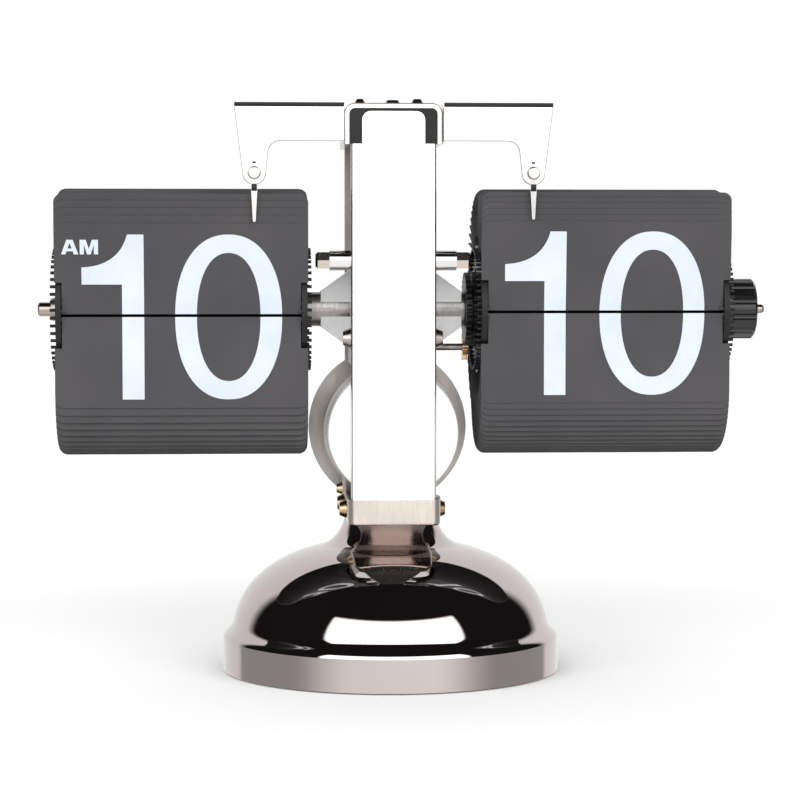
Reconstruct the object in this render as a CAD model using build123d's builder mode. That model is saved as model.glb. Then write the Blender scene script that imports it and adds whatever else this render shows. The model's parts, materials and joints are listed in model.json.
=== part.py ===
from build123d import *
from math import atan2, cos, degrees, pi, radians, sin, sqrt
from pathlib import Path

# Flip number clock: two drums of hinged leaves on a polished column over a weighted spun base.
# Millimetres, +X to the minute drum, +Y to the back, +Z up, origin at the centre of the base's underside.

Path("parts").mkdir(exist_ok=True)

# Base and collar
BASE_R = 47.5
BASE_WALL = 1.2
RIM_H = 9.2
DOME_R = 44.6
DOME_FOOT = 14.2
CREST_R = 20.0
CREST_Z = 35.3
SHELL_LIFT = 0.4
PAD_T = 1.6
PAD_INSET = 2.4
PLATE_T = 1.2
BALLAST_R = 41.0
BALLAST_TOP = 15.0
BOLT_R = 2.5
BOLT_HEAD_R = 4.6
BOLT_HEAD_H = 3.6
BOLT_POCKET = 5.0
NUT_H = 3.2
NECK_R = 13.2
NECK_Z = 42.6
COLLAR_X = 25.8
COLLAR_Y = 41.0
COLLAR_TOP = 49.8
COLLAR_FLOOR = 2.0
COLLAR_CORNER = 2.8
COLLAR_SCREW_Y = 9.0
COLLAR_SCREW_Z = 46.4

# Column: a front and a back plate under a top block and a yoke
FRONT_W = 23.6
BACK_W = 24.6
COLUMN_FACE = 18.0
COLUMN_T = 2.0
COLUMN_FOOT = NECK_Z + COLLAR_FLOOR
COLUMN_TOP = 147.9
TONGUE_W = 17.3
TONGUE_H = 9.0
BLOCK_TOP = 157.8
YOKE_T = 1.4
YOKE_W = 27.2
YOKE_LIP = 0.6
YOKE_CORNER = 3.0
TOP_SCREWS = ((-9.0, -9.0, 1.9), (0.4, -4.0, 2.7), (7.0, -9.0, 2.1), (-9.0, 9.0, 1.9), (7.0, 9.0, 2.1))
SCREW_R = 1.2
SIDE_SCREW_Y = -8.0
SIDE_SCREW_Z = 152.0
SPACER_R = 2.4
SPACER_Y = -12.9
SPACER_Z = 94.3

# Drums
AXLE_Z = 102.2
AXLE_R = 2.0
AXLE_TIP_R = 1.3
AXLE_LEFT = -99.0
AXLE_RIGHT = 106.8
HOUR_X = -58.4
MINUTE_X = 59.1
PIN_R = 16.5
DISC_R = 18.0
DISC_IN = 33.05
DISC_OUT = 34.6
SLEEVE_R = 4.6
NECK_SLEEVE_R = 3.2
TUBE_SKIN_R = 4.85
RUNNING = 0.06
STUD_R = 0.45
STUD_INNER = 1.2
STUD_OUTER = 1.5
GROOVE_HALF = 0.65
GROOVE_DEPTH = 0.95
DISC_HOLE_R = 2.6
DISC_HOLES_AT = 9.6
KNOB_R = 8.5
KNOB_L = 9.8
KNOB_FLANGE = 2.6
KNOB_FLUTES = 12
FLUTE_R = 0.95

# Leaves
LEAF_W = 69.6
LEAF_L = 24.4
LEAF_T = 0.2
LEAF_GAP = 0.04
LEAF_CORNER = 2.4
NOTCH_W = 2.0
NOTCH_H = 8.0
EAR_REACH = 33.75
EAR_H = 0.9
EAR_PIN_R = 0.4
SPLIT_GAP = 0.8
HOUR_FRONT_PIN = -1.5
MINUTE_FRONT_PIN = 1.0
UPPER_TOP = 33.6
REAR_LEAN = 70.0
REAR_END = 200.0
HOUR_LEAVES = 48
MINUTE_LEAVES = 60

# Gears
DRUM_MODULE = 0.65
TRAIN_MODULE = 0.5
WHEEL_TEETH = 30
PINION_TEETH = 10
REDUCTION_TEETH = 20
WHEEL_IN = 20.9
WHEEL_W = 1.5
INDEX_IN = 23.0
INDEX_TEETH = 24
ARBOR_R = 1.0
ARBOR_Y = 7.0
MOTOR_Y = -0.3
MOTOR_R = 5.8
MOTOR_LEFT = -7.4
MOTOR_RIGHT = 7.4
MOTOR_NECK_R = 2.2
SHAFT_R = 0.75
TRAIN_X = 8.2
TRAIN_W = 1.2
HOUR_ARBOR_Y = 9.0
HOUR_TRAIN_X = -9.6

# Movement case
CASE_X = 11.5
CASE_FRONT = -10.0
CASE_BACK = 16.0
COVER_T = 0.9
CASE_WALL = 1.5
CASE_LOW = 86.8
CASE_TOP = 115.4
BOSS_END = 19.8
BOSS_DEPTH = 8.8
BOSS_ROOT_H = 22.0
BOSS_END_H = 10.0

# Battery
TUBE_R = 18.1
TUBE_WALL = 0.8
TUBE_END_T = 1.0
TUBE_Z = 68.0
TUBE_FRONT = -15.8
TUBE_BACK = 45.5
RING_R = 22.8
BAND_T = 0.9
BAND_W = 4.4
BAND_Y = 2.0
BAND_SCREW_Z = 51.4
CELL_R = 16.2
CELL_L = 59.0
CELL_GAP = 1.6
CAP_T = 3.4
CAP_RIM = 1.4

# Arms and the cross rod
ARM_FACE = -20.0
ARM_T = 1.2
ARM_END = 43.8
ARM_LOW = 148.6
ARM_BEND = 3.2
SHELF_T = 1.1
SHELF_DEPTH = 9.0
TAB_T = 1.0
LOBE_X = 38.4
LOBE_Z = 139.8
LOBE_R = 3.2
POINTER_T = 0.5
POINTER_CLEAR = 0.3
POINTER_SCREW_R = 0.9
ROD_R = 2.8
ROD_HALF = 17.6
ROD_NUT_R = 2.6
ROD_NUT_L = 3.9
ROD_Y = -12.9
ROD_Z = 115.9

arbor_z = AXLE_Z - sqrt((DRUM_MODULE * (WHEEL_TEETH + PINION_TEETH) / 2) ** 2 - ARBOR_Y**2)
hour_arbor_z = AXLE_Z - sqrt((TRAIN_MODULE * (WHEEL_TEETH + PINION_TEETH) / 2) ** 2 - HOUR_ARBOR_Y**2)
motor_reach = TRAIN_MODULE * (REDUCTION_TEETH + PINION_TEETH) / 2
motor_z = arbor_z + sqrt(motor_reach**2 - (ARBOR_Y - MOTOR_Y) ** 2)
clear = LEAF_T + LEAF_GAP
DRUMS = (
    ("hour", "left", -1, HOUR_X, HOUR_LEAVES, HOUR_FRONT_PIN),
    ("minute", "right", 1, MINUTE_X, MINUTE_LEAVES, MINUTE_FRONT_PIN),
)


def across(x, y=0.0, z=AXLE_Z):
    """A plane square to the axle: its own x runs along +Y, its y along +Z and its normal along +X."""
    return Plane(origin=(x, y, z), x_dir=(0, 1, 0), z_dir=(1, 0, 0))


def facing(y, x=0.0, z=0.0):
    """A plane facing the front: its own x runs along +X, its y along +Z and its normal along -Y."""
    return Plane(origin=(x, y, z), x_dir=(1, 0, 0), z_dir=(0, -1, 0))


def sideways(side, x, y, z):
    """A plane at x on that side of the column, its normal pointing away from the column."""
    return Plane(origin=(side * x, y, z), x_dir=(0, 1, 0), z_dir=(side, 0, 0))


def pin_at(angle):
    """A leaf's pin on the drum, angle degrees up from the front, as (y, height over the axle)."""
    return -PIN_R * cos(radians(angle)), PIN_R * sin(radians(angle))


def leaf_margin(step):
    """How far a leaf runs past its pin, so that two neighbours leave the split line open."""
    return (2 * PIN_R * sin(radians(step / 2)) - SPLIT_GAP) / 2


def front_slope(front, step, margin):
    """The slope at which the front leaf leans clear of the root of the leaf behind it."""
    here, behind = pin_at(front), pin_at(front + step)
    return 90 - max(0, degrees(atan2(clear - behind[0] + here[0], behind[1] - here[1] - margin)))


def save(piece, name):
    piece.part.label = name
    export_step(piece.part, f"parts/{name}.step")


def screw(planes, head_r, head_h, shank_r, shank_l):
    """Domed screws with a cross recess, one on each plane, whose normal points out of the head."""
    with BuildPart() as made:
        for plane in planes:
            with BuildSketch(plane.offset(-shank_l)):
                Circle(shank_r)
            extrude(amount=shank_l)
            with BuildSketch(plane):
                Circle(head_r)
            extrude(amount=head_h, taper=24)
            for width, height in ((head_r, 0.5), (0.5, head_r)):
                with BuildSketch(plane.offset(head_h * 0.6)):
                    Rectangle(width, height)
                extrude(amount=head_h, mode=Mode.SUBTRACT)
    return made


def gear(module, teeth, plane, width, bore, phase=0.0):
    """A spur gear on a plane, with a tooth centred on the plane's own x axis when phase is 0."""
    pitch_r = module * teeth / 2
    pitch = pi * module
    root_r = pitch_r - 1.2 * module
    tip_r = pitch_r + 0.9 * module
    flank = (
        (root_r * 0.97, 0.32 * pitch),
        (pitch_r, 0.21 * pitch),
        (tip_r, 0.09 * pitch),
    )
    outline = [(r, -half) for r, half in flank] + [(r, half) for r, half in reversed(flank)]
    with BuildPart() as made:
        with BuildSketch(plane):
            Circle(root_r)
            with PolarLocations(0, teeth, start_angle=phase):
                Polygon(*outline, align=None)
            Circle(bore, mode=Mode.SUBTRACT)
        extrude(amount=width)
    return made


# Base -------------------------------------------------------------------------------------------

def bell(inset, top):
    """Half of the bell's section, its outline moved in by inset, closed along the axis."""
    rim_r, dome_r, neck_r = BASE_R - inset, DOME_R - inset, NECK_R - inset
    foot, crest = DOME_FOOT - inset, CREST_Z - inset
    with BuildSketch(Plane.XZ) as section:
        with BuildLine():
            floor = Line((0, SHELL_LIFT), (rim_r, SHELL_LIFT))
            rim = Line(floor @ 1, (rim_r, RIM_H))
            roll = Bezier(rim @ 1, (rim_r, RIM_H + 2.4 - inset), (dome_r + 0.6, foot - 2.8), (dome_r, foot))
            dome = Bezier(roll @ 1, (dome_r - 1.6, foot + 7.8), (dome_r - 7.1, crest - 4.3), (CREST_R, crest))
            flare = Bezier(dome @ 1, (CREST_R - 2.4, crest + 0.6), (neck_r + 1.6, crest + 2.3), (neck_r, top))
            Polyline(flare @ 1, (0, top), (0, SHELL_LIFT))
        make_face()
    return section.sketch


with BuildPart() as base_shell:
    revolve(bell(0, NECK_Z), axis=Axis.Z)
    revolve(bell(BASE_WALL, NECK_Z - BASE_WALL), axis=Axis.Z, mode=Mode.SUBTRACT)
    Hole(BOLT_R, 2 * NECK_Z)
save(base_shell, "base_shell")

plate_top = PAD_T + PLATE_T
with BuildPart() as foot_pad:
    with BuildSketch():
        Circle(BASE_R - PAD_INSET)
    extrude(amount=PAD_T)
    fillet(foot_pad.edges().filter_by(GeomType.CIRCLE).group_by(Axis.Z)[0], 0.5)
save(foot_pad, "foot_pad")

with BuildPart() as base_plate:
    with BuildSketch(Plane.XY.offset(PAD_T)):
        Circle(BASE_R - BASE_WALL - RUNNING)
        Circle(BOLT_HEAD_R + 2.9, mode=Mode.SUBTRACT)
    extrude(amount=PLATE_T)
save(base_plate, "base_plate")

with BuildPart() as base_ballast:
    with BuildSketch(Plane.XY.offset(plate_top)):
        Circle(BALLAST_R)
    extrude(amount=BALLAST_TOP - plate_top)
    chamfer(base_ballast.edges().group_by(Axis.Z)[-1], 2.0)
    with Locations((0, 0, plate_top)):
        Hole(BOLT_R + RUNNING, BALLAST_TOP)
    with BuildSketch(Plane.XY.offset(plate_top)):
        Circle(BOLT_HEAD_R + 2.4)
    extrude(amount=BOLT_POCKET, mode=Mode.SUBTRACT)
save(base_ballast, "base_ballast")

bolt_seat = plate_top + BOLT_POCKET
with BuildPart() as centre_bolt:
    with BuildSketch(Plane.XY.offset(bolt_seat - BOLT_HEAD_H)):
        RegularPolygon(BOLT_HEAD_R, 6)
    extrude(amount=BOLT_HEAD_H)
    with BuildSketch(Plane.XY.offset(bolt_seat)):
        Circle(BOLT_R)
    extrude(amount=COLUMN_FOOT + NUT_H + 0.2 - bolt_seat)
    chamfer(centre_bolt.edges().group_by(Axis.Z)[-1], 0.5)
save(centre_bolt, "centre_bolt")

with BuildPart() as centre_nut:
    with BuildSketch(Plane.XY.offset(COLUMN_FOOT)):
        RegularPolygon(BOLT_HEAD_R, 6)
        Circle(BOLT_R, mode=Mode.SUBTRACT)
    extrude(amount=NUT_H)
save(centre_nut, "centre_nut")

with BuildPart() as collar:
    with BuildSketch(Plane.XY.offset(NECK_Z)):
        RectangleRounded(COLLAR_X, COLLAR_Y, COLLAR_CORNER)
    extrude(amount=COLLAR_TOP - NECK_Z)
    with BuildSketch(Plane.XY.offset(COLUMN_FOOT)):
        Rectangle(BACK_W + RUNNING, 2 * COLUMN_FACE + RUNNING)
    extrude(amount=COLLAR_TOP, mode=Mode.SUBTRACT)
    fillet(collar.faces().sort_by(Axis.Z)[0].outer_wire().edges(), 0.8)
    Hole(BOLT_R, 2 * COLLAR_TOP)
    for screw_y in (-COLLAR_SCREW_Y, COLLAR_SCREW_Y):
        with BuildSketch(across(-COLLAR_X, screw_y, COLLAR_SCREW_Z)):
            Circle(SCREW_R)
        extrude(amount=2 * COLLAR_X, mode=Mode.SUBTRACT)
save(collar, "collar")

collar_wall = (COLLAR_X - BACK_W) / 2
collar_screws = screw(
    [
        sideways(side, COLLAR_X / 2, screw_y, COLLAR_SCREW_Z)
        for side in (-1, 1)
        for screw_y in (-COLLAR_SCREW_Y, COLLAR_SCREW_Y)
    ],
    2.7, 1.9, SCREW_R, collar_wall - RUNNING,
)
save(collar_screws, "collar_screws")

# Column -----------------------------------------------------------------------------------------

with BuildPart() as front_plate:
    with BuildSketch(facing(-COLUMN_FACE + COLUMN_T)):
        with Locations((0, COLUMN_FOOT)):
            Rectangle(FRONT_W, COLUMN_TOP - COLUMN_FOOT, align=(Align.CENTER, Align.MIN))
    extrude(amount=COLUMN_T)
    fillet(front_plate.edges().filter_by(Axis.Z).group_by(Axis.Y)[0], 0.9)
    with BuildSketch(facing(-COLUMN_FACE + COLUMN_T)):
        with Locations((0, COLUMN_TOP - 1.0)):
            tongue = Rectangle(TONGUE_W, TONGUE_H + 1.0, align=(Align.CENTER, Align.MIN))
        fillet(tongue.vertices().group_by(Axis.Y)[-1], 2.4)
    extrude(amount=COLUMN_T * 0.7)
save(front_plate, "front_plate")

with BuildPart() as back_plate:
    with BuildSketch(facing(COLUMN_FACE)):
        with Locations((0, COLUMN_FOOT)):
            Rectangle(BACK_W, COLUMN_TOP - COLUMN_FOOT, align=(Align.CENTER, Align.MIN))
        with Locations((0, TUBE_Z)):
            Circle(RING_R)
            Circle(TUBE_R, mode=Mode.SUBTRACT)
        for side, beside in ((-1, Align.MAX), (1, Align.MIN)):
            with Locations((side * BACK_W / 2, COLUMN_FOOT)):
                Rectangle(
                    BACK_W, COLLAR_TOP + RUNNING - COLUMN_FOOT, align=(beside, Align.MIN), mode=Mode.SUBTRACT
                )
    extrude(amount=COLUMN_T)
save(back_plate, "back_plate")

block_half = YOKE_W / 2 - YOKE_T
block_depth = 2 * (COLUMN_FACE - COLUMN_T)
with BuildPart() as top_block:
    with BuildSketch(facing(block_depth / 2)):
        with Locations((0, COLUMN_TOP)):
            body = Rectangle(2 * block_half, BLOCK_TOP - COLUMN_TOP, align=(Align.CENTER, Align.MIN))
        fillet(body.vertices().group_by(Axis.Y)[-1], YOKE_CORNER - YOKE_T)
    extrude(amount=block_depth)
    with BuildSketch(Plane.XY.offset(BLOCK_TOP)):
        with Locations(*[(x, y) for x, y, _ in TOP_SCREWS]):
            Circle(SCREW_R)
    extrude(amount=-4.0, mode=Mode.SUBTRACT)
    with BuildSketch(across(-block_half, SIDE_SCREW_Y, SIDE_SCREW_Z)):
        Circle(SCREW_R)
    extrude(amount=2 * block_half, mode=Mode.SUBTRACT)
save(top_block, "top_block")

with BuildPart() as yoke:
    with BuildSketch(facing(block_depth / 2 + YOKE_LIP)):
        with Locations((0, COLUMN_TOP)):
            outer = Rectangle(YOKE_W, BLOCK_TOP + YOKE_T - COLUMN_TOP, align=(Align.CENTER, Align.MIN))
        fillet(outer.vertices().group_by(Axis.Y)[-1], YOKE_CORNER)
    extrude(amount=block_depth + 2 * YOKE_LIP)
    fillet(yoke.faces().sort_by(Axis.Y)[0].outer_wire().edges().filter_by(Axis.X, reverse=True), 0.4)
    with BuildSketch(facing(block_depth / 2 + YOKE_LIP)):
        with Locations((0, COLUMN_TOP)):
            inner = Rectangle(2 * block_half, BLOCK_TOP - COLUMN_TOP, align=(Align.CENTER, Align.MIN))
        fillet(inner.vertices().group_by(Axis.Y)[-1], YOKE_CORNER - YOKE_T)
    extrude(amount=block_depth + 2 * YOKE_LIP, mode=Mode.SUBTRACT)
    with BuildSketch(Plane.XY.offset(BLOCK_TOP)):
        with Locations(*[(x, y) for x, y, _ in TOP_SCREWS]):
            Circle(SCREW_R)
    extrude(amount=YOKE_T, mode=Mode.SUBTRACT)
    with BuildSketch(across(-YOKE_W, SIDE_SCREW_Y, SIDE_SCREW_Z)):
        Circle(SCREW_R)
    extrude(amount=2 * YOKE_W, mode=Mode.SUBTRACT)
save(yoke, "yoke")

with BuildPart() as top_screws:
    for x, y, head_r in TOP_SCREWS:
        with BuildSketch(Plane.XY.offset(BLOCK_TOP - 3.0)):
            with Locations((x, y)):
                Circle(SCREW_R)
        extrude(amount=YOKE_T + 3.0)
        with BuildSketch(Plane.XY.offset(BLOCK_TOP + YOKE_T)):
            with Locations((x, y)):
                Circle(head_r)
        extrude(amount=1.5, taper=30)
        with BuildSketch(Plane.XY.offset(BLOCK_TOP + YOKE_T + 1.0)):
            with Locations((x, y)):
                Rectangle(1.8, 0.5)
                Rectangle(0.5, 1.8)
        extrude(amount=1.0, mode=Mode.SUBTRACT)
save(top_screws, "top_screws")

side_screws = screw(
    [sideways(side, YOKE_W / 2 + TAB_T, SIDE_SCREW_Y, SIDE_SCREW_Z) for side in (-1, 1)],
    2.1, 1.5, SCREW_R, 4.0,
)
save(side_screws, "side_screws")

with BuildPart() as spacer_bar:
    with BuildSketch(across(-FRONT_W / 2, SPACER_Y, SPACER_Z)):
        Circle(SPACER_R)
    extrude(amount=FRONT_W)
    for side in (-1, 1):
        with BuildSketch(across(side * FRONT_W / 2, SPACER_Y, SPACER_Z)):
            Circle(SCREW_R)
        extrude(amount=-side * 4.0, mode=Mode.SUBTRACT)
save(spacer_bar, "spacer_bar")

spacer_screws = screw(
    [sideways(side, FRONT_W / 2, SPACER_Y, SPACER_Z) for side in (-1, 1)],
    2.9, 2.1, SCREW_R, 3.6,
)
save(spacer_screws, "spacer_screws")

# Arms and pointers ------------------------------------------------------------------------------

arm_back = ARM_FACE + ARM_T
arm_inner = LOBE_X - LOBE_R
for drum, name, side, middle, count, front in DRUMS:
    step = 360 / count
    lean = front_slope(front, step, leaf_margin(step))
    tip_z = AXLE_Z + pin_at(front)[1] + LEAF_L * sin(radians(lean)) + POINTER_CLEAR
    with BuildPart() as arm:
        with BuildSketch(facing(arm_back)):
            with BuildLine():
                top = Line((side * YOKE_W / 2, BLOCK_TOP), (side * ARM_END, BLOCK_TOP))
                outside = Line(top @ 1, (side * (LOBE_X + LOBE_R), LOBE_Z))
                round_end = (side * LOBE_X, LOBE_Z - LOBE_R)
                lobe = ThreePointArc(outside @ 1, round_end, (side * arm_inner, LOBE_Z))
                inside = Line(lobe @ 1, (side * (arm_inner - 0.6), ARM_LOW - ARM_BEND))
                bend = RadiusArc(
                    inside @ 1, (side * (arm_inner - 0.6 - ARM_BEND), ARM_LOW), -side * (ARM_BEND + 0.2)
                )
                Polyline(bend @ 1, (side * YOKE_W / 2, ARM_LOW), (side * YOKE_W / 2, BLOCK_TOP))
            make_face()
        extrude(amount=ARM_T)
        fillet(arm.faces().sort_by(Axis.Y)[0].outer_wire().edges().filter_by(Axis.X, reverse=True), 0.3)
        with BuildSketch(Plane.XY.offset(BLOCK_TOP)):
            with Locations((side * (YOKE_W / 2 + ARM_END) / 2, ARM_FACE)):
                Rectangle(ARM_END - YOKE_W / 2, SHELF_DEPTH, align=(Align.CENTER, Align.MIN))
        extrude(amount=SHELF_T)
        with BuildSketch(across(side * YOKE_W / 2, SIDE_SCREW_Y, SIDE_SCREW_Z)):
            with Locations((arm_back - SIDE_SCREW_Y, ARM_LOW - SIDE_SCREW_Z)):
                Rectangle(15.0, BLOCK_TOP - ARM_LOW, align=(Align.MIN, Align.MIN))
            Circle(SCREW_R, mode=Mode.SUBTRACT)
        extrude(amount=side * TAB_T)
        with BuildSketch(facing(arm_back, side * LOBE_X, LOBE_Z)):
            Circle(POINTER_SCREW_R)
        extrude(amount=ARM_T, mode=Mode.SUBTRACT)
    save(arm, f"arm_{name}")

    with BuildPart() as pointer:
        with BuildSketch(facing(ARM_FACE)):
            with Locations((side * LOBE_X, LOBE_Z)):
                Circle(2.0)
            with BuildLine():
                left = Line((side * LOBE_X - 1.1, LOBE_Z), (side * LOBE_X - 0.4, tip_z + 0.4))
                tip = ThreePointArc(left @ 1, (side * LOBE_X, tip_z), (side * LOBE_X + 0.4, tip_z + 0.4))
                Polyline(tip @ 1, (side * LOBE_X + 1.1, LOBE_Z), (side * LOBE_X - 1.1, LOBE_Z))
            make_face()
            with Locations((side * LOBE_X, LOBE_Z)):
                Circle(POINTER_SCREW_R, mode=Mode.SUBTRACT)
        extrude(amount=POINTER_T)
    save(pointer, f"pointer_{name}")

pointer_screws = screw(
    [facing(ARM_FACE - POINTER_T, side * LOBE_X, LOBE_Z) for side in (-1, 1)],
    1.8, 0.9, POINTER_SCREW_R, ARM_T + POINTER_T,
)
save(pointer_screws, "pointer_screws")

# Cross rod and axle -----------------------------------------------------------------------------

with BuildPart() as cross_rod:
    with BuildSketch(across(-ROD_HALF, ROD_Y, ROD_Z)):
        Circle(ROD_R)
    extrude(amount=2 * ROD_HALF)
save(cross_rod, "cross_rod")

with BuildPart() as rod_nuts:
    for side in (-1, 1):
        with BuildSketch(across(side * ROD_HALF, ROD_Y, ROD_Z)):
            RegularPolygon(ROD_NUT_R, 6)
        extrude(amount=side * ROD_NUT_L)
    ends = rod_nuts.faces().filter_by(Axis.X).sort_by(Axis.X)
    chamfer(ends[0].edges() + ends[-1].edges(), 0.6)
save(rod_nuts, "rod_nuts")

hour_face = HOUR_X + DISC_OUT
tube_ends = {"left": hour_face + 0.2, "right": WHEEL_IN - 0.2}
tube_bores = {"left": NECK_SLEEVE_R + RUNNING, "right": AXLE_R}
for drum, name, side, middle, count, front in DRUMS:
    reach = tube_ends[name] - side * CASE_X
    with BuildPart() as axle_tube:
        with BuildSketch(across(side * CASE_X)):
            Circle(TUBE_SKIN_R)
            Circle(tube_bores[name], mode=Mode.SUBTRACT)
        extrude(amount=reach)
        with BuildSketch(facing(0.8 - TUBE_SKIN_R, tube_ends[name] - side * 4.4, AXLE_Z)):
            SlotOverall(6.4, 1.0)
        extrude(amount=2.0, mode=Mode.SUBTRACT)
    save(axle_tube, f"axle_tube_{name}")

tip_start = MINUTE_X + DISC_OUT - 1.0
with BuildPart() as main_axle:
    with BuildSketch(across(AXLE_LEFT)):
        Circle(AXLE_R)
    extrude(amount=tip_start - AXLE_LEFT)
    with BuildSketch(across(tip_start)):
        Circle(AXLE_TIP_R)
    extrude(amount=AXLE_RIGHT - tip_start)
    fillet(main_axle.edges().group_by(Axis.X)[-1], 0.9)
    chamfer(main_axle.edges().group_by(Axis.X)[0], 0.4)
save(main_axle, "main_axle")

with BuildPart() as axle_stop:
    with BuildSketch(across(HOUR_X - DISC_OUT - 0.15)):
        Circle(3.6)
        Circle(AXLE_R, mode=Mode.SUBTRACT)
    extrude(amount=-2.2, taper=12)
save(axle_stop, "axle_stop")

# Movement ---------------------------------------------------------------------------------------

case_deep = CASE_BACK - CASE_FRONT - COVER_T
with BuildPart() as movement_case:
    with BuildSketch(Plane.XY.offset(CASE_LOW)):
        with Locations((0, CASE_FRONT)):
            Rectangle(2 * CASE_X, case_deep, align=(Align.CENTER, Align.MIN))
    extrude(amount=CASE_TOP - CASE_LOW)
    for side in (-1, 1):
        with BuildSketch(across(side * CASE_X)):
            Rectangle(BOSS_DEPTH, BOSS_ROOT_H)
        with BuildSketch(across(side * BOSS_END)):
            Rectangle(BOSS_DEPTH, BOSS_END_H)
        loft()
    with BuildSketch(Plane.XY.offset(CASE_LOW)):
        with Locations((0, CASE_FRONT + CASE_WALL)):
            Rectangle(2 * (CASE_X - CASE_WALL), case_deep, align=(Align.CENTER, Align.MIN))
    extrude(amount=CASE_TOP - CASE_LOW - CASE_WALL, mode=Mode.SUBTRACT)
    with BuildSketch(across(0)):
        Circle(AXLE_R)
    extrude(amount=CASE_X, mode=Mode.SUBTRACT)
    with BuildSketch(across(0)):
        Circle(NECK_SLEEVE_R + RUNNING)
    extrude(amount=-CASE_X, mode=Mode.SUBTRACT)
    for side in (-1, 1):
        with BuildSketch(across(side * CASE_X)):
            Circle(TUBE_SKIN_R)
        extrude(amount=side * (BOSS_END - CASE_X), mode=Mode.SUBTRACT)
    with BuildSketch(across(0, ARBOR_Y, arbor_z)):
        Circle(ARBOR_R + RUNNING)
    extrude(amount=CASE_X, mode=Mode.SUBTRACT)
    with BuildSketch(across(0, HOUR_ARBOR_Y, hour_arbor_z)):
        Circle(ARBOR_R + RUNNING)
    extrude(amount=-CASE_X, mode=Mode.SUBTRACT)
save(movement_case, "movement_case")

with BuildPart() as movement_cover:
    with BuildSketch(facing(CASE_BACK, 0, (CASE_LOW + CASE_TOP) / 2)):
        Rectangle(2 * CASE_X, CASE_TOP - CASE_LOW)
    extrude(amount=COVER_T)
save(movement_cover, "movement_cover")

with BuildPart() as motor:
    with BuildSketch(across(MOTOR_LEFT, MOTOR_Y, motor_z)):
        Circle(MOTOR_R)
    extrude(amount=MOTOR_RIGHT - MOTOR_LEFT - 1.0)
    with BuildSketch(across(MOTOR_RIGHT - 1.0, MOTOR_Y, motor_z)):
        Circle(MOTOR_NECK_R)
    extrude(amount=1.0)
    with BuildSketch(across(MOTOR_RIGHT - 3.0, MOTOR_Y, motor_z)):
        Circle(SHAFT_R + RUNNING)
    extrude(amount=3.0, mode=Mode.SUBTRACT)
save(motor, "motor")

half_tooth = 180 / PINION_TEETH
train_tilt = degrees(atan2(motor_z - arbor_z, MOTOR_Y - ARBOR_Y))
reduction_wheel = gear(
    TRAIN_MODULE, REDUCTION_TEETH, across(TRAIN_X, ARBOR_Y, arbor_z), TRAIN_W, ARBOR_R, train_tilt
)
save(reduction_wheel, "reduction_wheel")
motor_pinion = gear(
    TRAIN_MODULE,
    PINION_TEETH,
    across(TRAIN_X, MOTOR_Y, motor_z),
    TRAIN_W,
    SHAFT_R,
    train_tilt + 180 + half_tooth,
)
save(motor_pinion, "motor_pinion")
with BuildPart() as motor_shaft:
    with BuildSketch(across(MOTOR_RIGHT - 2.8, MOTOR_Y, motor_z)):
        Circle(SHAFT_R)
    extrude(amount=TRAIN_X + TRAIN_W + 0.3 - MOTOR_RIGHT + 2.8)
save(motor_shaft, "motor_shaft")

arbors = (
    ("drive", -6.0, WHEEL_IN + WHEEL_W, ARBOR_Y, arbor_z),
    ("hour", -CASE_X, HOUR_TRAIN_X + TRAIN_W + 1.0, HOUR_ARBOR_Y, hour_arbor_z),
)
for name, start, end, y, z in arbors:
    with BuildPart() as arbor:
        with BuildSketch(across(start, y, z)):
            Circle(ARBOR_R)
        extrude(amount=end - start)
    save(arbor, f"{name}_arbor")

minute_tilt = degrees(atan2(arbor_z - AXLE_Z, ARBOR_Y))
minute_pinion = gear(
    DRUM_MODULE,
    PINION_TEETH,
    across(WHEEL_IN, ARBOR_Y, arbor_z),
    WHEEL_W,
    ARBOR_R,
    minute_tilt + 180 + half_tooth,
)
save(minute_pinion, "minute_pinion")
with BuildPart() as minute_drive_wheel:
    add(gear(DRUM_MODULE, WHEEL_TEETH, across(WHEEL_IN), WHEEL_W, SLEEVE_R, minute_tilt))
    with BuildSketch(across(WHEEL_IN)):
        Circle(SLEEVE_R + 2.0)
        Circle(SLEEVE_R, mode=Mode.SUBTRACT)
    extrude(amount=MINUTE_X - DISC_OUT - WHEEL_IN)
    index_module = DRUM_MODULE * WHEEL_TEETH / INDEX_TEETH
    add(gear(index_module, INDEX_TEETH, across(INDEX_IN), WHEEL_W, SLEEVE_R))
save(minute_drive_wheel, "minute_drive_wheel")

hour_tilt = degrees(atan2(hour_arbor_z - AXLE_Z, HOUR_ARBOR_Y))
hour_pinion = gear(
    TRAIN_MODULE,
    PINION_TEETH,
    across(HOUR_TRAIN_X, HOUR_ARBOR_Y, hour_arbor_z),
    TRAIN_W,
    ARBOR_R,
    hour_tilt + 180 + half_tooth,
)
save(hour_pinion, "hour_pinion")
hour_drive_wheel = gear(TRAIN_MODULE, WHEEL_TEETH, across(HOUR_TRAIN_X), TRAIN_W, NECK_SLEEVE_R, hour_tilt)
save(hour_drive_wheel, "hour_drive_wheel")

# Drums ------------------------------------------------------------------------------------------

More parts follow.
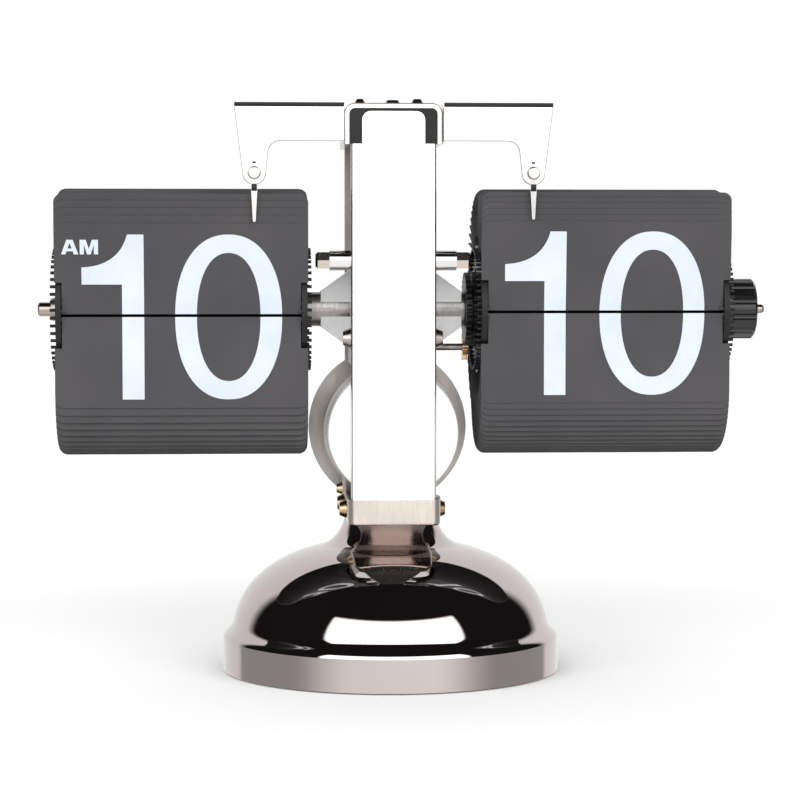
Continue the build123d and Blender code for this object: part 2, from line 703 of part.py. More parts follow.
for name, _, side, middle, count, _ in DRUMS:
    inner_face = middle - side * DISC_OUT
    outer_face = middle + side * DISC_OUT
    with BuildPart() as sleeve:
        with BuildSketch(across(inner_face)):
            Circle(SLEEVE_R)
        extrude(amount=outer_face - inner_face)
        if name == "minute":
            with BuildSketch(across(WHEEL_IN)):
                Circle(SLEEVE_R)
            extrude(amount=inner_face - WHEEL_IN)
        else:
            with BuildSketch(across(inner_face)):
                Circle(NECK_SLEEVE_R)
            extrude(amount=HOUR_TRAIN_X + TRAIN_W - inner_face)
        with BuildSketch(across(0)):
            Circle(AXLE_R + RUNNING)
        extrude(amount=outer_face, mode=Mode.SUBTRACT)
    save(sleeve, f"{name}_sleeve")

    for place, outward, stud_l in (("inner", -side, STUD_INNER), ("outer", side, STUD_OUTER)):
        with BuildPart() as disc:
            with BuildSketch(across(middle + outward * DISC_IN)):
                Circle(DISC_R)
                Circle(SLEEVE_R, mode=Mode.SUBTRACT)
                with PolarLocations(DISC_HOLES_AT, 5):
                    Circle(DISC_HOLE_R, mode=Mode.SUBTRACT)
            extrude(amount=outward * (DISC_OUT - DISC_IN))
            with BuildSketch(across(middle + outward * DISC_IN)):
                Circle(PIN_R + GROOVE_HALF)
                Circle(PIN_R - GROOVE_HALF, mode=Mode.SUBTRACT)
            extrude(amount=outward * GROOVE_DEPTH, mode=Mode.SUBTRACT)
            with BuildSketch(across(middle + outward * (DISC_OUT - 0.3))):
                with PolarLocations(PIN_R + 0.3, count):
                    Circle(STUD_R)
            extrude(amount=outward * (stud_l + 0.3))
        save(disc, f"{name}_disc_{place}")

knob_start = MINUTE_X + DISC_OUT
with BuildPart() as minute_knob:
    with BuildSketch(across(knob_start)):
        Circle(KNOB_R)
    extrude(amount=KNOB_L)
    chamfer(minute_knob.edges().group_by(Axis.X)[-1], 0.7)
    with BuildSketch(across(knob_start + KNOB_FLANGE)):
        with PolarLocations(KNOB_R + 0.1, KNOB_FLUTES, start_angle=180 / KNOB_FLUTES):
            Circle(FLUTE_R)
    extrude(amount=KNOB_L, mode=Mode.SUBTRACT)
    with BuildSketch(across(knob_start)):
        Circle(AXLE_TIP_R + RUNNING)
    extrude(amount=KNOB_L, mode=Mode.SUBTRACT)
save(minute_knob, "minute_knob")


# Leaves -----------------------------------------------------------------------------------------

def leaf_face(middle, pin, slope, margin):
    """A leaf's outline, hung on its pin and turned slope degrees up from level; 90 is upright."""
    out, up = -cos(radians(slope)), sin(radians(slope))
    plane = Plane(origin=(middle, pin[0], AXLE_Z + pin[1]), x_dir=(1, 0, 0), z_dir=(0, -up, out))
    with BuildSketch(plane) as outline:
        with Locations((0, -margin)):
            sheet = Rectangle(LEAF_W, LEAF_L + margin, align=(Align.CENTER, Align.MIN))
        fillet(sheet.vertices().group_by(Axis.Y)[-1], LEAF_CORNER)
        with Locations((-LEAF_W / 2, -margin), (LEAF_W / 2, -margin)):
            Rectangle(2 * NOTCH_W, NOTCH_H + margin, align=(Align.CENTER, Align.MIN), mode=Mode.SUBTRACT)
        Rectangle(2 * EAR_REACH, EAR_H)
    return outline.sketch


for name, _, side, middle, count, front in DRUMS:
    step = 360 / count
    margin = leaf_margin(step)
    upper = []
    angle = front
    slope = front_slope(front, step, margin)
    while PIN_R * sin(radians(angle)) + LEAF_L < UPPER_TOP:
        pin = pin_at(angle)
        if upper:
            ahead = upper[-1][0]
            tip_y = ahead[0] - LEAF_L * cos(radians(slope))
            tip_h = ahead[1] + LEAF_L * sin(radians(slope))
            slope = degrees(atan2(tip_h - pin[1], pin[0] - tip_y - clear))
        upper.append((pin, slope))
        angle += step
    rear = []
    while angle < REAR_END:
        rear.append((pin_at(angle), angle + REAR_LEAN))
        angle += step
    lower = []
    slope = -90.0
    while angle < front + 360 - step / 2:
        pin = pin_at(angle)
        if lower:
            behind = lower[-1][0]
            lean = pin[0] - (behind[0] - clear)
            if lean > 0:
                slope = -degrees(atan2(pin[1] - behind[1] - margin, lean))
        lower.append((pin, slope))
        angle += step
    for group, rows in (("leaves_upper", upper[1:]), ("leaves_rear", rear), ("leaves_lower", lower)):
        with BuildPart() as stack:
            for pin, slope in rows:
                extrude(leaf_face(middle, pin, slope, margin), amount=LEAF_T / 2, both=True)
        save(stack, f"{name}_{group}")
    pin, slope = upper[0]
    with BuildPart() as leaf_front:
        extrude(leaf_face(middle, pin, slope, margin), amount=LEAF_T / 2, both=True)
        for end in (-1, 1):
            with BuildSketch(across(middle + end * EAR_REACH, pin[0], AXLE_Z + pin[1])):
                Circle(EAR_PIN_R)
            extrude(amount=-end * (EAR_REACH - LEAF_W / 2 + NOTCH_W + 1.0))
    save(leaf_front, f"{name}_leaf_front")


# Battery ----------------------------------------------------------------------------------------

with BuildPart() as battery_tube:
    with BuildSketch(facing(TUBE_BACK, 0, TUBE_Z)):
        Circle(TUBE_R)
    extrude(amount=TUBE_BACK - TUBE_FRONT)
    with BuildSketch(facing(TUBE_BACK, 0, TUBE_Z)):
        Circle(TUBE_R - TUBE_WALL)
    extrude(amount=TUBE_BACK - TUBE_FRONT - TUBE_END_T, mode=Mode.SUBTRACT)
    fillet(battery_tube.edges().filter_by(GeomType.CIRCLE).group_by(Axis.Y)[0], 0.8)
save(battery_tube, "battery_tube")

tail_x = BACK_W / 2 + 0.4
tail_t = 1.0
with BuildPart() as battery_band:
    with BuildSketch(facing(BAND_Y, 0, TUBE_Z)):
        Circle(TUBE_R + BAND_T)
        Circle(TUBE_R, mode=Mode.SUBTRACT)
    extrude(amount=BAND_W)
    with BuildSketch(facing(BAND_Y, -tail_x, COLLAR_TOP + 0.2)):
        Rectangle(tail_t, 5.4, align=(Align.MAX, Align.MIN))
        with Locations((tail_x, TUBE_Z - COLLAR_TOP - 0.2)):
            Circle(TUBE_R, mode=Mode.SUBTRACT)
    extrude(amount=BAND_W)
    with BuildSketch(across(-tail_x - tail_t, BAND_Y - BAND_W / 2, BAND_SCREW_Z)):
        Circle(POINTER_SCREW_R)
    extrude(amount=tail_t, mode=Mode.SUBTRACT)
save(battery_band, "battery_band")

band_screw = screw(
    [sideways(-1, tail_x + tail_t, BAND_Y - BAND_W / 2, BAND_SCREW_Z)], 1.9, 1.6, POINTER_SCREW_R, tail_t
)
save(band_screw, "band_screw")

cell_front = TUBE_FRONT + TUBE_END_T + CELL_GAP
with BuildPart() as battery_cell:
    with BuildSketch(facing(cell_front + CELL_L, 0, TUBE_Z)):
        Circle(CELL_R)
    extrude(amount=CELL_L)
    fillet(battery_cell.edges(), 0.8)
    with BuildSketch(facing(cell_front + CELL_L, 0, TUBE_Z)):
        Circle(4.6)
    extrude(amount=-1.2)
save(battery_cell, "battery_cell")

with BuildPart() as contact_spring:
    with BuildSketch(facing(cell_front, 0, TUBE_Z)):
        Circle(6.0)
        Circle(4.4, mode=Mode.SUBTRACT)
    extrude(amount=CELL_GAP)
save(contact_spring, "contact_spring")

plug_r = TUBE_R - TUBE_WALL - 0.1
plug_hole_r = plug_r - 0.9
with BuildPart() as battery_cap:
    with BuildSketch(facing(TUBE_BACK + CAP_T, 0, TUBE_Z)):
        Circle(TUBE_R + CAP_RIM)
    extrude(amount=CAP_T)
    fillet(battery_cap.edges().filter_by(GeomType.CIRCLE).group_by(Axis.Y)[-1], 1.2)
    with BuildSketch(facing(TUBE_BACK, 0, TUBE_Z)):
        Circle(plug_r)
        Circle(plug_hole_r, mode=Mode.SUBTRACT)
    extrude(amount=1.6)
    with BuildSketch(facing(TUBE_BACK + CAP_T - 1.6, 0, TUBE_Z)):
        Circle(plug_hole_r)
    extrude(amount=CAP_T - 1.6, mode=Mode.SUBTRACT)
    with BuildSketch(facing(TUBE_BACK + CAP_T, 0, TUBE_Z)):
        SlotOverall(22.0, 3.0)
    extrude(amount=0.8, mode=Mode.SUBTRACT)
save(battery_cap, "battery_cap")
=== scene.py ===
import json
import math

import bmesh
import bpy
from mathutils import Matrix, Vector
from mathutils.geometry import tessellate_polygon


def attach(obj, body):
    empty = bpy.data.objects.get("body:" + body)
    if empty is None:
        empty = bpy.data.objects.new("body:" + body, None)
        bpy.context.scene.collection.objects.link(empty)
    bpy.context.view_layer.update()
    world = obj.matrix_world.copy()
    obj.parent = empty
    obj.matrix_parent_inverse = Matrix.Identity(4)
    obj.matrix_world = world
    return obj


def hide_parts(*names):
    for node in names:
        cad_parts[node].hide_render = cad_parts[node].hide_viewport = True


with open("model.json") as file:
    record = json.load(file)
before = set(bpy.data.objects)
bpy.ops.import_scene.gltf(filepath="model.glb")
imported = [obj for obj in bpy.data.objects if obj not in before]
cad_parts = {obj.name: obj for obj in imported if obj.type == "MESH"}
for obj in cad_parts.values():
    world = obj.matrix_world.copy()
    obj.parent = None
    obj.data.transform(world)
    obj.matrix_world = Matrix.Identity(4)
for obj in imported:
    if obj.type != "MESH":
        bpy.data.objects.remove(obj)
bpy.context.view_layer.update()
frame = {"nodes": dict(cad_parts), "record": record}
nodes = frame["nodes"]
scene = bpy.context.scene
MM = 0.001
CREASE = 35
NOISE_LOW = 0.3
NOISE_HIGH = 0.7
GRAIN_DEPTH = 0.02


# Materials --------------------------------------------------------------------------------------

def link(tree, start, end):
    tree.links.new(start, end)


def node(tree, kind, **values):
    """A shader node of that kind. Values whose name is an input set the input, the others an attribute."""
    made = tree.nodes.new(kind)
    for name, value in values.items():
        label = name.replace("_", " ")
        if label in made.inputs:
            made.inputs[label].default_value = value
        else:
            setattr(made, name, value)
    return made


def noise(tree, scale, detail=3.0, stretch=(1, 1, 1)):
    """Noise over the piece's own coordinates, in cells per metre, stretched along the axes."""
    place = node(tree, "ShaderNodeTexCoord")
    squeeze = node(tree, "ShaderNodeMapping", Scale=stretch)
    made = node(tree, "ShaderNodeTexNoise", Scale=scale, Detail=detail)
    link(tree, place.outputs["Object"], squeeze.inputs["Vector"])
    link(tree, squeeze.outputs["Vector"], made.inputs["Vector"])
    return made.outputs["Fac"]


def ramp(tree, source, low, high):
    """The middle of the noise, spread over the colours low to high."""
    made = node(tree, "ShaderNodeValToRGB")
    stops = made.color_ramp.elements
    stops[0].position, stops[0].color = NOISE_LOW, (*low, 1)
    stops[1].position, stops[1].color = NOISE_HIGH, (*high, 1)
    link(tree, source, made.inputs["Fac"])
    return made.outputs["Color"]


def spread(tree, source, low, high):
    """The middle of the noise, spread over the numbers low to high."""
    made = node(tree, "ShaderNodeMapRange")
    made.inputs["From Min"].default_value = NOISE_LOW
    made.inputs["From Max"].default_value = NOISE_HIGH
    made.inputs["To Min"].default_value = low
    made.inputs["To Max"].default_value = high
    link(tree, source, made.inputs["Value"])
    return made.outputs["Result"]


def finish(name, low, high, rough, metallic=0.0, patch=60, grain=(4000, (1, 1, 1), 0.1), **own):
    """A surface whose colour drifts from low to high in patches, with a grain that also moves the gloss.

    rough is the lowest and highest roughness, grain is (cells per metre, stretch, bump strength).
    """
    material = bpy.data.materials.new(name)
    material.use_nodes = True
    tree = material.node_tree
    shader = tree.nodes["Principled BSDF"]
    shader.inputs["Metallic"].default_value = metallic
    for key, value in own.items():
        shader.inputs[key.replace("_", " ")].default_value = value
    scale, stretch, strength = grain
    fine = noise(tree, scale, 2.0, stretch)
    link(tree, ramp(tree, noise(tree, patch), low, high), shader.inputs["Base Color"])
    link(tree, spread(tree, fine, *rough), shader.inputs["Roughness"])
    bump = node(tree, "ShaderNodeBump", Strength=strength, Distance=GRAIN_DEPTH * MM)
    link(tree, fine, bump.inputs["Height"])
    link(tree, bump.outputs["Normal"], shader.inputs["Normal"])
    return material


EVEN = (1, 1, 1)
chrome = finish(
    "mirror_chrome", (0.50, 0.445, 0.43), (0.56, 0.50, 0.485),
    rough=(0.02, 0.05), metallic=1.0, patch=25, grain=(300, EVEN, 0.02),
)
steel = finish(
    "polished_steel", (0.66, 0.655, 0.65), (0.74, 0.735, 0.73),
    rough=(0.05, 0.13), metallic=1.0, patch=40, grain=(900, EVEN, 0.01),
)
plate_steel = finish(
    "plate_steel", (0.88, 0.875, 0.87), (0.93, 0.925, 0.92),
    rough=(0.20, 0.26), metallic=1.0, patch=40, grain=(1200, EVEN, 0.005),
)
arm_steel = finish(
    "arm_steel", (0.66, 0.65, 0.64), (0.72, 0.71, 0.70),
    rough=(0.10, 0.20), metallic=1.0, patch=50, grain=(1500, EVEN, 0.01),
)
pointer_steel = finish(
    "pointer_steel", (0.40, 0.39, 0.38), (0.50, 0.49, 0.48),
    rough=(0.20, 0.32), metallic=1.0, patch=90, grain=(2500, (1, 1, 0.1), 0.05),
)
warm = finish(
    "warm_steel", (0.56, 0.50, 0.455), (0.64, 0.57, 0.52),
    rough=(0.16, 0.28), metallic=1.0, patch=60, grain=(2500, (1, 1, 0.06), 0.05),
)
satin = finish(
    "satin_steel", (0.28, 0.26, 0.245), (0.37, 0.345, 0.325),
    rough=(0.28, 0.40), metallic=1.0, patch=70, grain=(3000, (1, 1, 0.06), 0.06),
)
axle_steel = finish(
    "axle_steel", (0.30, 0.26, 0.23), (0.44, 0.39, 0.35),
    rough=(0.14, 0.26), metallic=1.0, patch=120, grain=(3000, (0.1, 1, 1), 0.06),
)
dark = finish(
    "dark_steel", (0.20, 0.19, 0.18), (0.34, 0.32, 0.31),
    rough=(0.22, 0.38), metallic=1.0, patch=90, grain=(3000, (1, 0.1, 0.1), 0.08),
)
brass = finish(
    "brass", (0.50, 0.34, 0.20), (0.70, 0.50, 0.32),
    rough=(0.16, 0.30), metallic=1.0, patch=200, grain=(2500, EVEN, 0.08),
)
gloss = finish(
    "black_gloss", (0.004, 0.004, 0.005), (0.012, 0.011, 0.012),
    rough=(0.04, 0.10), patch=60, grain=(700, EVEN, 0.02), Specular_IOR_Level=0.2,
)
knob_black = finish(
    "knob_black", (0.004, 0.004, 0.004), (0.010, 0.009, 0.009),
    rough=(0.14, 0.24), patch=90, grain=(4000, EVEN, 0.12),
)
moulded = finish(
    "drum_black", (0.006, 0.006, 0.006), (0.012, 0.011, 0.012),
    rough=(0.30, 0.44), patch=120, grain=(5000, EVEN, 0.2), Specular_IOR_Level=0.25,
)
leaf = finish(
    "leaf_film", (0.045, 0.043, 0.046), (0.056, 0.053, 0.056),
    rough=(0.55, 0.66), patch=45, grain=(6000, EVEN, 0.10), Specular_IOR_Level=0.3,
)
ink = finish(
    "white_print", (0.50, 0.55, 0.61), (0.56, 0.61, 0.67),
    rough=(0.40, 0.52), patch=70, grain=(5000, EVEN, 0.10),
)
grey = finish(
    "case_plastic", (0.60, 0.60, 0.60), (0.69, 0.69, 0.69),
    rough=(0.30, 0.42), patch=80, grain=(3500, EVEN, 0.12),
)
tube_white = finish(
    "tube_plastic", (0.74, 0.74, 0.73), (0.82, 0.82, 0.81),
    rough=(0.26, 0.38), patch=60, grain=(3500, EVEN, 0.10),
)
iron = finish(
    "cast_iron", (0.05, 0.05, 0.05), (0.12, 0.115, 0.11),
    rough=(0.5, 0.75), metallic=0.6, patch=150, grain=(900, EVEN, 0.8),
)
foot = finish(
    "foot_rubber", (0.012, 0.012, 0.012), (0.03, 0.03, 0.03),
    rough=(0.7, 0.9), patch=300, grain=(2500, EVEN, 0.5),
)
wrap = finish(
    "cell_wrap", (0.05, 0.06, 0.09), (0.08, 0.09, 0.13),
    rough=(0.2, 0.3), patch=60, grain=(900, EVEN, 0.05),
)

SLOT_MATERIALS = {
    "mirror_chrome": chrome,
    "polished_steel": steel,
    "satin_steel": satin,
    "warm_steel": warm,
    "dark_steel": dark,
    "brass": brass,
    "black_gloss": gloss,
    "drum_black": moulded,
    "leaf_grey": leaf,
    "print_white": ink,
    "case_grey": grey,
    "cast_ballast": iron,
    "felt": foot,
    "cell_wrap": wrap,
}


def dress(thing, material):
    """Gives the whole piece one material."""
    thing.data.materials.clear()
    thing.data.materials.append(material)


for part in frame["record"]["subparts"]:
    dress(nodes[part["node"]], SLOT_MATERIALS[part["material_slot"]])
for name, material in (
    ("front_plate", plate_steel),
    ("arm_left", arm_steel),
    ("arm_right", arm_steel),
    ("pointer_left", pointer_steel),
    ("pointer_right", pointer_steel),
    ("main_axle", axle_steel),
    ("minute_knob", knob_black),
    ("battery_tube", tube_white),
):
    dress(nodes[name], material)


# Pieces -----------------------------------------------------------------------------------------

def placed(name, mesh):
    """A new object from a bmesh in metres."""
    data = bpy.data.meshes.new(name)
    mesh.to_mesh(data)
    mesh.free()
    made = bpy.data.objects.new(name, data)
    scene.collection.objects.link(made)
    return made


def piece(name, mesh, body, slot):
    """A new piece from a bmesh in metres: it rides the body and takes the slot's finish."""
    bmesh.ops.recalc_face_normals(mesh, faces=mesh.faces)
    made = placed(name, mesh)
    dress(made, SLOT_MATERIALS[slot])
    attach(made, body)
    return made


def bezier(start, first, second, end, steps=16):
    """Points along a cubic curve, without its start."""
    points = []
    for step in range(1, steps + 1):
        t = step / steps
        weights = ((1 - t) ** 3, 3 * t * (1 - t) ** 2, 3 * t * t * (1 - t), t**3)
        corners = (start, first, second, end)
        points.append(tuple(sum(w * p[axis] for w, p in zip(weights, corners)) for axis in (0, 1)))
    return points


def lathe(profile, segments):
    """A closed outline of (radius, height) points in millimetres turned about Z."""
    mesh = bmesh.new()
    rings = []
    turns = [2 * math.pi * i / segments for i in range(segments)]
    for radius, height in profile:
        places = [(radius * MM * math.cos(a), radius * MM * math.sin(a), height * MM) for a in turns]
        rings.append([mesh.verts.new(p) for p in places])
    for lower, upper in zip(rings, rings[1:] + rings[:1]):
        for i in range(segments):
            j = (i + 1) % segments
            mesh.faces.new((lower[i], lower[j], upper[j], upper[i]))
    return mesh


def smooth(thing):
    """Smooth shading, with edges sharper than CREASE degrees kept crisp."""
    thing.data.shade_smooth()
    thing.data.set_sharp_from_angle(angle=math.radians(CREASE))
    return thing


# Base -------------------------------------------------------------------------------------------

BASE_R = 47.5
DOME_R = 44.6
DOME_FOOT = 14.2
RIM_H = 9.2
CREST_R = 20.0
CREST_Z = 35.3
NECK_R = 13.2
NECK_Z = 42.6
SHELL_LIFT = 0.4
BASE_WALL = 1.2
BOLT_R = 2.5
BELL_STEPS = 28
BELL_SEGMENTS = 256


def bell(inset):
    """The bell's outline from the rim's foot to its neck, moved in by inset."""
    rim, dome, neck = BASE_R - inset, DOME_R - inset, NECK_R - inset
    foot_z, crest = DOME_FOOT - inset, CREST_Z - inset
    points = [(rim, SHELL_LIFT), (rim, RIM_H)]
    curves = (
        ((rim, RIM_H + 2.4 - inset), (dome + 0.6, foot_z - 2.8), (dome, foot_z)),
        ((dome - 1.6, foot_z + 7.8), (dome - 7.1, crest - 4.3), (CREST_R, crest)),
        ((CREST_R - 2.4, crest + 0.6), (neck + 1.6, crest + 2.3), (neck, NECK_Z - inset)),
    )
    for curve in curves:
        points += bezier(points[-1], *curve, steps=BELL_STEPS)
    return points


inside = bell(BASE_WALL)
outline = bell(0) + [(BOLT_R, NECK_Z), (BOLT_R, NECK_Z - BASE_WALL)] + inside[::-1]
base_bell = smooth(piece("base_bell", lathe(outline, BELL_SEGMENTS), "frame", "mirror_chrome"))
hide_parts("base_shell")


# Numbers printed on the leaves ------------------------------------------------------------------

PRINT_T = 0.01
AXLE_Z = 102.2
PIN_R = 16.5
LEAF_L = 24.4
LEAF_T = 0.2
CLEAR = 0.24
SPLIT_GAP = 0.8
NUMBER_TOP = 22.35
NUMBER_FOOT = -23.1
STEM = (-15.8, -9.8)
FLAG_LEFT = -26.8
FLAG_Z = (8.6, 13.3)
ROUND_X = 12.9
ROUND_HALF = (14.7, 22.75)
ROUND_HOLE = (8.75, 17.7)
ROUND_POWER = 2.2


def one(shift=0.0):
    """The outline of a 1, as one closed loop."""
    tip = (FLAG_LEFT + shift, FLAG_Z[1])
    top = (STEM[0] + 1.5 + shift, NUMBER_TOP)
    curve = bezier(tip, (tip[0] + 8.0, tip[1] + 0.3), (top[0] - 1.2, top[1] - 4.6), top)
    rest = [
        (STEM[1] + shift, NUMBER_TOP),
        (STEM[1] + shift, NUMBER_FOOT),
        (STEM[0] + shift, NUMBER_FOOT),
        (STEM[0] + shift, FLAG_Z[0]),
        (FLAG_LEFT + shift, FLAG_Z[0]),
    ]
    return [[tip] + curve + rest]


def oval(middle, half, steps=96):
    """A squared oval round (middle, half way up the number)."""
    loop = []
    height = (NUMBER_TOP + NUMBER_FOOT) / 2
    for step in range(steps):
        angle = 2 * math.pi * step / steps
        c, s = math.cos(angle), math.sin(angle)
        x = half[0] * math.copysign(abs(c) ** (2 / ROUND_POWER), c)
        z = half[1] * math.copysign(abs(s) ** (2 / ROUND_POWER), s)
        loop.append((middle + x, height + z))
    return loop


def nought():
    return [oval(ROUND_X, ROUND_HALF), oval(ROUND_X, ROUND_HOLE)[::-1]]


LETTER_Z = (16.9, 20.9)
LETTER_A = (-32.8, -28.1)
LETTER_M = (-27.7, -22.7)


def half_day():
    """AM, as the loops of its letters."""
    low, top = LETTER_Z
    left, right = LETTER_A
    mid = (left + right) / 2
    letter_a = [(left, low), (mid - 0.85, top), (mid + 0.85, top), (right, low), (right - 1.25, low),
                (right - 1.5, low + 0.85), (left + 1.5, low + 0.85), (left + 1.25, low)]
    gap = [(mid - 0.6, low + 1.6), (mid + 0.6, low + 1.6), (mid, low + 3.1)]
    left, right = LETTER_M
    mid = (left + right) / 2
    letter_m = [(left, low), (left, top), (left + 1.65, top), (mid, low + 1.5), (right - 1.65, top),
                (right, top), (right, low), (right - 1.15, low), (right - 1.15, low + 2.7),
                (mid + 0.5, low), (mid - 0.5, low), (left + 1.15, low + 2.7), (left + 1.15, low)]
    return [[letter_a, gap], [letter_m]]


HOUR_ONE = -0.5
MINUTE_ONE = -1.45
ELEVEN_LEFT = 3.6
ELEVEN_RIGHT = 35.6
TEN = {"hour": [one(HOUR_ONE), nought()], "minute": [one(MINUTE_ONE), nought()]}
ELEVEN = [one(ELEVEN_LEFT), one(ELEVEN_RIGHT)]

DRUMS = (  # name, middle, leaves, angle of the front leaf's pin
    ("hour", -58.4, 48, -1.5),
    ("minute", 59.1, 60, 1.0),
)


def pin_at(angle):
    """A leaf's pin, angle degrees up from the front of the drum, as (y, height over the axle)."""
    turn = math.radians(angle)
    return -PIN_R * math.cos(turn), PIN_R * math.sin(turn)


def upper_slopes(front, step, margin):
    """The slopes of the front leaf and of the one behind it."""
    here, behind = pin_at(front), pin_at(front + step)
    lean = math.degrees(math.atan2(CLEAR - behind[0] + here[0], behind[1] - here[1] - margin))
    first = 90 - max(0, lean)
    tip_y = here[0] - LEAF_L * math.cos(math.radians(first))
    tip_z = here[1] + LEAF_L * math.sin(math.radians(first))
    return first, math.degrees(math.atan2(tip_z - behind[1], behind[0] - tip_y - CLEAR))


def lower_slope(front, step, margin):
    """The slope of the front leaf of the hanging stack."""
    here, behind = pin_at(front - step), pin_at(front - 2 * step)
    lean = here[0] - behind[0] + CLEAR
    if lean <= 0:
        return -90.0
    return -math.degrees(math.atan2(here[1] - behind[1] - margin, lean))


def printed(name, figures, body, middle, pin, slope, face, upper, half):
    """Prints the upper or the lower half of the figures on a leaf.

    face is 1 for the side that looks forward while the leaf is upright and -1 for its other side. half is
    the height of a shown leaf's pin above or below the split.
    """
    turn = math.radians(slope)
    along = Vector((0, -math.cos(turn), math.sin(turn)))
    out = Vector((0, -math.sin(turn), -math.cos(turn))) * face
    side = 1 if upper else -1
    mesh = bmesh.new()
    for loops in figures:
        flat = [[Vector((x, z, 0)) for x, z in loop] for loop in loops]
        points = [mesh.verts.new(p) for loop in flat for p in loop]
        for corners in tessellate_polygon(flat):
            mesh.faces.new([points[i] for i in corners])
    everything = [*mesh.verts, *mesh.edges, *mesh.faces]
    edge = side * SPLIT_GAP / 2
    bmesh.ops.bisect_plane(
        mesh, geom=everything, plane_co=(0, edge, 0), plane_no=(0, side, 0), clear_inner=True
    )
    raised = bmesh.ops.extrude_face_region(mesh, geom=list(mesh.faces))
    top = [item for item in raised["geom"] if isinstance(item, bmesh.types.BMVert)]
    bmesh.ops.translate(mesh, vec=(0, 0, PRINT_T), verts=top)
    origin = Vector((middle, pin[0], AXLE_Z + pin[1])) + out * (LEAF_T / 2)
    for vert in mesh.verts:
        x, z, lift = vert.co
        vert.co = (origin + Vector((x, 0, 0)) + along * (side * z - half) + out * lift) * MM
    return piece(name, mesh, body, "print_white")


for drum, middle, count, front in DRUMS:
    step = 360 / count
    margin = PIN_R * math.sin(math.radians(step / 2)) - SPLIT_GAP / 2
    ahead, behind, below = pin_at(front), pin_at(front + step), pin_at(front - step)
    half = (ahead[1] - below[1]) / 2
    first, second = upper_slopes(front, step, margin)
    hanging = lower_slope(front, step, margin)
    extra = half_day() if drum == "hour" else []
    moving = f"{drum}_leaf"
    printed(f"{drum}_ten_upper", TEN[drum] + extra, moving, middle, ahead, first, 1, True, half)
    printed(f"{drum}_eleven_lower", ELEVEN, moving, middle, ahead, first, -1, False, half)
    printed(f"{drum}_eleven_upper", ELEVEN + extra, "frame", middle, behind, second, 1, True, half)
    printed(f"{drum}_ten_lower", TEN[drum], "frame", middle, below, hanging, -1, False, half)


# Black edge strips and marks ----------------------------------------------------------------------

def extruded(name, profile, start, end, body, slot, bevel):
    """A closed (y, z) profile in millimetres drawn out along X, its edges softened."""
    mesh = bmesh.new()
    near = [mesh.verts.new((start * MM, y * MM, z * MM)) for y, z in profile]
    far = [mesh.verts.new((end * MM, y * MM, z * MM)) for y, z in profile]
    mesh.faces.new(near)
    mesh.faces.new(far[::-1])
    for i in range(len(profile)):
        j = (i + 1) % len(profile)
        mesh.faces.new((near[i], far[i], far[j], near[j]))
    bmesh.ops.bevel(mesh, geom=list(mesh.edges), offset=bevel * MM, segments=2, profile=0.5, affect="EDGES")
    return smooth(piece(name, mesh, body, slot))


ARM_FACE = -20.0
ARM_END = 43.8
SHELF_Z = 157.8
SHELF_T = 1.1
YOKE_HALF = 13.6
LOBE_X = 38.4
LOBE_Z = 139.8
POINTER_FACE = -20.5
STRIP_GAP = 0.1
STRIP_T = 0.3
STRIP_COVER = 0.16
STRIP_LAP = 1.6
STRIP_BEVEL = 0.06
MARK_T = 0.2
MARK_SLOPE = 0.1
MARK_BEVEL = 0.04
MARKS = (  # place, foot and top from the screw, half width, the face it lies on
    ("upper", 2.55, 3.15, 0.5, ARM_FACE),
    ("lower", -5.0, -3.0, 0.75, POINTER_FACE),
)
# The outline of a black gloss strip that wraps the front and the top of each arm's upper edge.
EDGE_PROFILE = (
    (ARM_FACE, SHELF_Z + STRIP_GAP),
    (ARM_FACE - STRIP_T, SHELF_Z + STRIP_GAP),
    (ARM_FACE - STRIP_T, SHELF_Z + SHELF_T + STRIP_COVER),
    (ARM_FACE + STRIP_LAP, SHELF_Z + SHELF_T + STRIP_COVER),
    (ARM_FACE + STRIP_LAP, SHELF_Z + SHELF_T),
    (ARM_FACE, SHELF_Z + SHELF_T),
)
for name, side in (("left", -1), ("right", 1)):
    near = side * (YOKE_HALF + STRIP_GAP)
    extruded(f"black_edge_strip_{name}", EDGE_PROFILE, near, side * ARM_END, "frame", "black_gloss", STRIP_BEVEL)
    for place, low, high, half, face in MARKS:
        profile = (
            (face, LOBE_Z + low),
            (face - MARK_T, LOBE_Z + low + MARK_SLOPE),
            (face - MARK_T, LOBE_Z + high - MARK_SLOPE),
            (face, LOBE_Z + high),
        )
        left = side * LOBE_X - half
        right = side * LOBE_X + half
        extruded(f"pointer_mark_{place}_{name}", profile, left, right, "frame", "black_gloss", MARK_BEVEL)


# Studio -----------------------------------------------------------------------------------------

FLOOR_HALF = 20.0  # metres
SUN_ENERGY = 2.1
SUN_SPREAD = 110  # degrees
SUN_TILT = (18, -8, 0)  # degrees

# The world, in degrees aside from the front and degrees above the table. Each pair is where an edge
# starts and where it ends.
CARD_SIDE = (54, 50)
CARD_TOP = (42, 38)
CARD_FOOT = (-2, 0)
CARD_LEVEL = 2.6
WALL_SIDE = (118, 132)
WALL_TOP = (62, 50)
WALL_LEVEL = 0.95
GLOW_SIDE = (75, 25)
GLOW_TOP = (0, -2)
GLOW_FRONT = 0.8
GLOW_LEVEL = 0.42
DARK_LEVEL = 0.012
SEEN_LEVEL = 1.0

LENS = 113.6
FAR_CLIP = 60
CAMERA_PLACE = Vector((-0.0393, -0.714, 0.113))
CAMERA_AIM = Vector((0.00275, 0, 0.0764))


def add_floor():
    mesh = bmesh.new()
    bmesh.ops.create_grid(mesh, x_segments=1, y_segments=1, size=FLOOR_HALF)
    made = placed("floor", mesh)
    paper = finish(
        "floor_paper", (0.96, 0.96, 0.96), (0.98, 0.98, 0.98),
        rough=(0.8, 0.9), patch=3, grain=(400, EVEN, 0.02),
    )
    dress(made, paper)
    made.visible_glossy = False


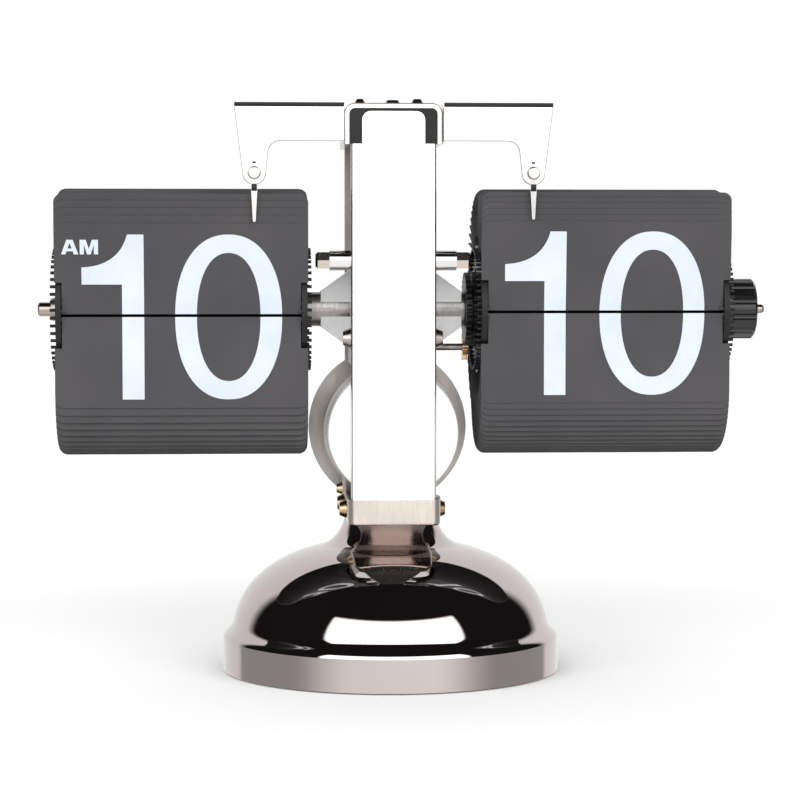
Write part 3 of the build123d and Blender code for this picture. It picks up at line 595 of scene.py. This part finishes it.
def add_sun():
    data = bpy.data.lights.new("soft_sky", "SUN")
    data.energy = SUN_ENERGY
    data.angle = math.radians(SUN_SPREAD)
    made = bpy.data.objects.new("soft_sky", data)
    made.rotation_euler = [math.radians(a) for a in SUN_TILT]
    made.visible_glossy = False
    scene.collection.objects.link(made)


def add_world():
    """A white card in front, a white wall behind, dark overhead, and the table's glow from below."""
    world = bpy.data.worlds.new("tent")
    scene.world = world
    world.use_nodes = True
    tree = world.node_tree
    back = tree.nodes["Background"]
    place = node(tree, "ShaderNodeTexCoord")
    parts = node(tree, "ShaderNodeSeparateXYZ")
    link(tree, place.outputs["Generated"], parts.inputs["Vector"])

    def calc(operation, first, second=None):
        made = node(tree, "ShaderNodeMath", operation=operation)
        for socket, value in zip(made.inputs, (first, second)):
            if isinstance(value, (int, float)):
                socket.default_value = value
            elif value is not None:
                link(tree, value, socket)
        return made.outputs["Value"]

    def ease(value, start, end):
        made = node(tree, "ShaderNodeMapRange", interpolation_type="SMOOTHSTEP")
        made.inputs["From Min"].default_value = start
        made.inputs["From Max"].default_value = end
        link(tree, value, made.inputs["Value"])
        return made.outputs["Result"]

    height = calc("MULTIPLY", calc("ARCSINE", parts.outputs["Z"]), 180 / math.pi)
    aside = calc("ABSOLUTE", calc("ARCTAN2", parts.outputs["X"], calc("MULTIPLY", parts.outputs["Y"], -1)))
    turn = calc("MULTIPLY", aside, 180 / math.pi)
    rows = calc("MULTIPLY", ease(height, *CARD_TOP), ease(height, *CARD_FOOT))
    card = calc("MULTIPLY", ease(turn, *CARD_SIDE), rows)
    wall = calc("MULTIPLY", ease(turn, *WALL_SIDE), ease(height, *WALL_TOP))
    above = calc("MAXIMUM", calc("MULTIPLY", card, CARD_LEVEL), calc("MULTIPLY", wall, WALL_LEVEL))
    table = calc("ADD", calc("MULTIPLY", ease(turn, *GLOW_SIDE), GLOW_FRONT), GLOW_LEVEL)
    light = calc("MAXIMUM", above, calc("MULTIPLY", table, ease(height, *GLOW_TOP)))
    level = calc("ADD", light, DARK_LEVEL)
    seen = node(tree, "ShaderNodeLightPath")
    mixed = node(tree, "ShaderNodeMix", data_type="FLOAT")
    link(tree, seen.outputs["Is Camera Ray"], mixed.inputs["Factor"])
    link(tree, level, mixed.inputs["A"])
    mixed.inputs["B"].default_value = SEEN_LEVEL
    link(tree, mixed.outputs["Result"], back.inputs["Strength"])
    back.inputs["Color"].default_value = (1, 1, 1, 1)


def add_camera():
    data = bpy.data.cameras.new("camera")
    data.lens = LENS
    data.clip_end = FAR_CLIP
    made = bpy.data.objects.new("camera", data)
    made.location = CAMERA_PLACE
    made.rotation_euler = (CAMERA_AIM - CAMERA_PLACE).to_track_quat("-Z", "Y").to_euler()
    scene.collection.objects.link(made)
    scene.camera = made


add_floor()
add_world()
add_sun()
add_camera()
scene.view_settings.view_transform = "Standard"
